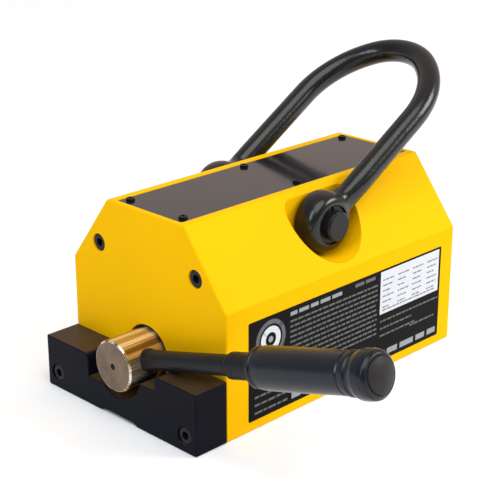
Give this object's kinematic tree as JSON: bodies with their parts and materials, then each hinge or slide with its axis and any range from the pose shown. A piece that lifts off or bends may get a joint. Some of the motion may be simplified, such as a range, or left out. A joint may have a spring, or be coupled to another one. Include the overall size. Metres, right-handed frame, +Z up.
{
  "type": "lifting magnet",
  "caption": "Permanent lifting magnet: steel pole body with an internal rotor turned by a hand lever, a hinged lifting bail and a notched guard block.",
  "frame": {"origin": "centre of the pole face (underside) of the magnet body", "axes": "+X from the lever end to the rear, +Y from the label side to the far side, +Z up away from the load"},
  "size_m": [0.3353, 0.3221, 0.2353],
  "materials": {
    "painted_body": "glossy yellow powder coat",
    "black_block": "satin black",
    "black_cover": "satin black",
    "black_oxide": "black oxide steel",
    "forged_bail": "dark forged steel, oiled",
    "polished_shaft": "ground and polished steel",
    "lever_black": "dark satin steel",
    "grip_plastic": "moulded, fine grain",
    "cap_plastic": "moulded, matte",
    "label_print": "printed black film",
    "bronze": "sintered bronze",
    "separator_brass": "machined brass",
    "aluminium": "machined",
    "magnet": "nickel plated magnet",
    "core_steel": "machined low carbon steel",
    "spring_steel": "phosphated spring steel",
    "seal_rubber": "nitrile rubber"
  },
  "bodies": {
    "housing": {"bottom_separator": "separator_brass", "cover_gasket": "seal_rubber", "cover_screws": "black_oxide", "front_bush": "bronze", "front_end_plate": "painted_body", "front_plate_screws": "black_oxide", "front_thrust_ring": "bronze", "guard_block": "black_block", "guard_dowels": "spring_steel", "guard_screws": "black_oxide", "left_pivot_pin": "black_oxide", "left_pivot_washer": "bronze", "left_pole_block": "painted_body", "left_retaining_ring": "spring_steel", "rating_label": "label_print", "rear_bush": "bronze", "rear_end_plate": "painted_body", "rear_plate_screws": "black_oxide", "rear_thrust_ring": "bronze", "right_pivot_pin": "black_oxide", "right_pivot_washer": "bronze", "right_pole_block": "painted_body", "right_retaining_ring": "spring_steel", "shaft_seal": "seal_rubber", "stator_magnets": "magnet", "top_cover": "black_cover", "top_separator": "separator_brass", "top_spacer": "aluminium"},
    "rotor": {"front_shaft": "polished_shaft", "rear_journal": "polished_shaft", "rotor_upper_pole": "core_steel", "rotor_lower_pole": "core_steel", "rotor_magnets": "magnet", "rotor_spacers": "aluminium", "rotor_screws": "black_oxide", "lever_rod": "lever_black", "lever_collar": "lever_black", "lever_grip": "grip_plastic", "grip_cap": "cap_plastic"},
    "bail": {"bail": "forged_bail", "right_eye_bush": "bronze", "left_eye_bush": "bronze"}
  },
  "joints": [
    {"name": "lever_turn", "type": "hinge", "parent": "housing", "child": "rotor", "pos_m": [0, 0, 0.0435], "axis": [-1, 0, 0], "range_deg": [0, 154]},
    {"name": "bail_swing", "type": "hinge", "parent": "housing", "child": "bail", "pos_m": [0, 0, 0.1285], "axis": [0, 1, 0], "range_deg": [-118, 0]}
  ]
}
